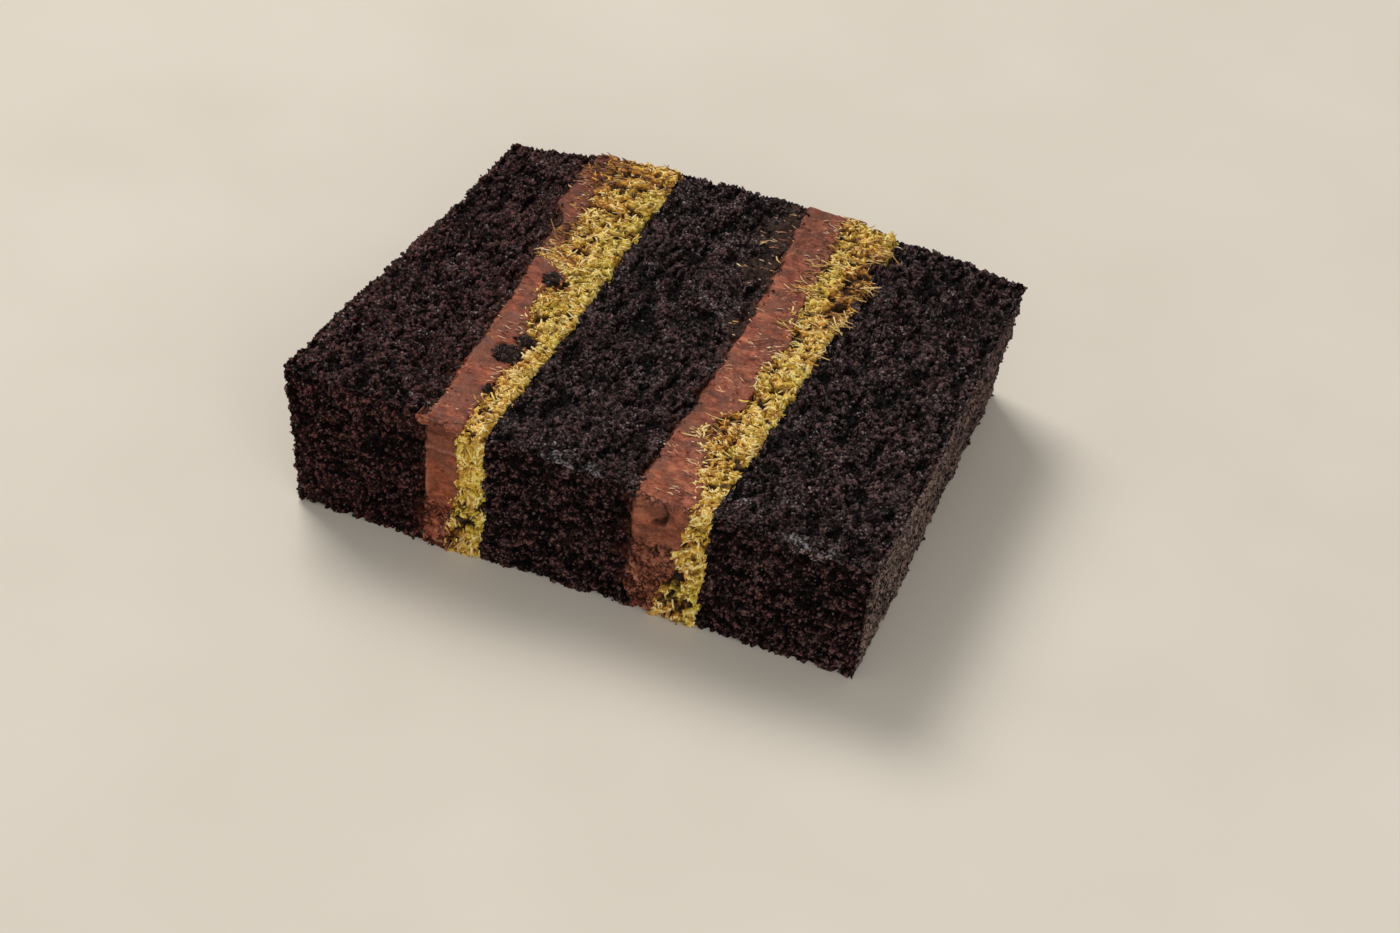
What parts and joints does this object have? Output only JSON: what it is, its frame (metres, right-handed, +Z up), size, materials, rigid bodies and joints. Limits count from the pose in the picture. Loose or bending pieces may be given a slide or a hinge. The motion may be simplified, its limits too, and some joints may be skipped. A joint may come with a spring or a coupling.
{
  "type": "pistachio kunafa cake slice",
  "caption": "Rectangular slice of dark chocolate layer cake lying on a cut side, with bands of chocolate ganache and shredded pistachio pastry between its layers.",
  "frame": {"origin": "under the middle of the slice's bounding box, on the surface that it lies on", "axes": "+X across the layers, from the first cake layer to the third; +Y from the front cut face to the back one; +Z up, through the slice's thickness"},
  "size_m": [0.1253, 0.103, 0.0354],
  "materials": {
    "cake": "moist dark chocolate crumb",
    "ganache": "satin milk chocolate ganache",
    "kunafa": "pistachio paste with toasted pastry strands"
  },
  "bodies": {
    "root": {"cake_layer_1": "cake", "ganache_1": "ganache", "kunafa_1": "kunafa", "cake_layer_2": "cake", "ganache_2": "ganache", "kunafa_2": "kunafa", "cake_layer_3": "cake"}
  },
  "joints": []
}
